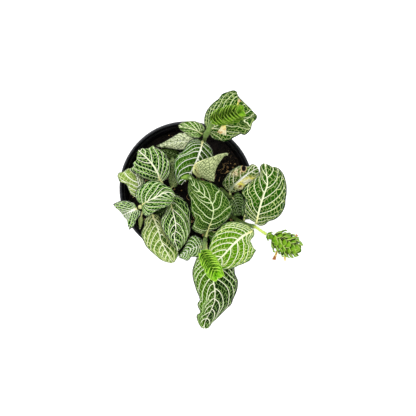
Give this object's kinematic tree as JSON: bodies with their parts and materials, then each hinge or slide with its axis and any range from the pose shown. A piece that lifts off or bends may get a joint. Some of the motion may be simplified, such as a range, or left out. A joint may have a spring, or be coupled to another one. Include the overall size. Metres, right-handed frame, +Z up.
{
  "type": "potted nerve plant",
  "caption": "Low spreading house plant with net-veined oval leaves and upright flower spikes, growing in a small round tapered nursery pot filled with soil.",
  "frame": {"origin": "middle of the pot's flat underside, on the pot's axis", "axes": "+Z up along the pot's axis; -Y is towards the longest, drooping leaf; +X is towards the leaning flower spike"},
  "size_m": [0.1344, 0.1727, 0.1578],
  "materials": {
    "pot_plastic": "satin",
    "potting_soil": "matte",
    "stem_green": "satin",
    "flower_stalk_green": "satin",
    "bract_green": "satin",
    "withered_petal": "matte",
    "leaf_green": "satin",
    "leaf_pale": "satin",
    "leaf_dark": "satin"
  },
  "bodies": {
    "root": {"leaf_bottom": "leaf_green", "leaf_bud_centre": "leaf_green", "leaf_centre": "leaf_green", "leaf_centre_top": "leaf_green", "leaf_damaged": "leaf_green", "leaf_dark_between": "leaf_dark", "leaf_dark_left": "leaf_dark", "leaf_dark_under_right": "leaf_dark", "leaf_dark_upper": "leaf_dark", "leaf_far_left": "leaf_green", "leaf_folded_pale": "leaf_pale", "leaf_grey_mid": "leaf_pale", "leaf_left_centre": "leaf_green", "leaf_lower_east": "leaf_dark", "leaf_lower_left": "leaf_green", "leaf_lower_right": "leaf_green", "leaf_lower_south": "leaf_dark", "leaf_old_grey": "leaf_pale", "leaf_right": "leaf_green", "leaf_rim_left": "leaf_green", "leaf_small_bottom": "leaf_green", "leaf_top_left": "leaf_green", "leaf_top_right": "leaf_green", "leaf_upper_left": "leaf_green", "leaf_young_left": "leaf_pale", "pot": "pot_plastic", "soil": "potting_soil", "spike_bottom_bracts": "bract_green", "spike_bottom_stalk": "flower_stalk_green", "spike_right_bracts": "bract_green", "spike_right_stalk": "flower_stalk_green", "spike_top_bracts": "bract_green", "spike_top_stalk": "flower_stalk_green", "stem_centre": "stem_green", "stem_east": "stem_green", "stem_inner": "stem_green", "stem_left": "stem_green", "stem_middle": "stem_green", "stem_right": "stem_green", "stem_top": "stem_green", "withered_flower_right_long": "withered_petal", "withered_flower_right_short": "withered_petal", "withered_flower_right_top": "withered_petal", "withered_flower_top_large": "withered_petal", "withered_flower_top_small": "withered_petal"}
  },
  "joints": []
}
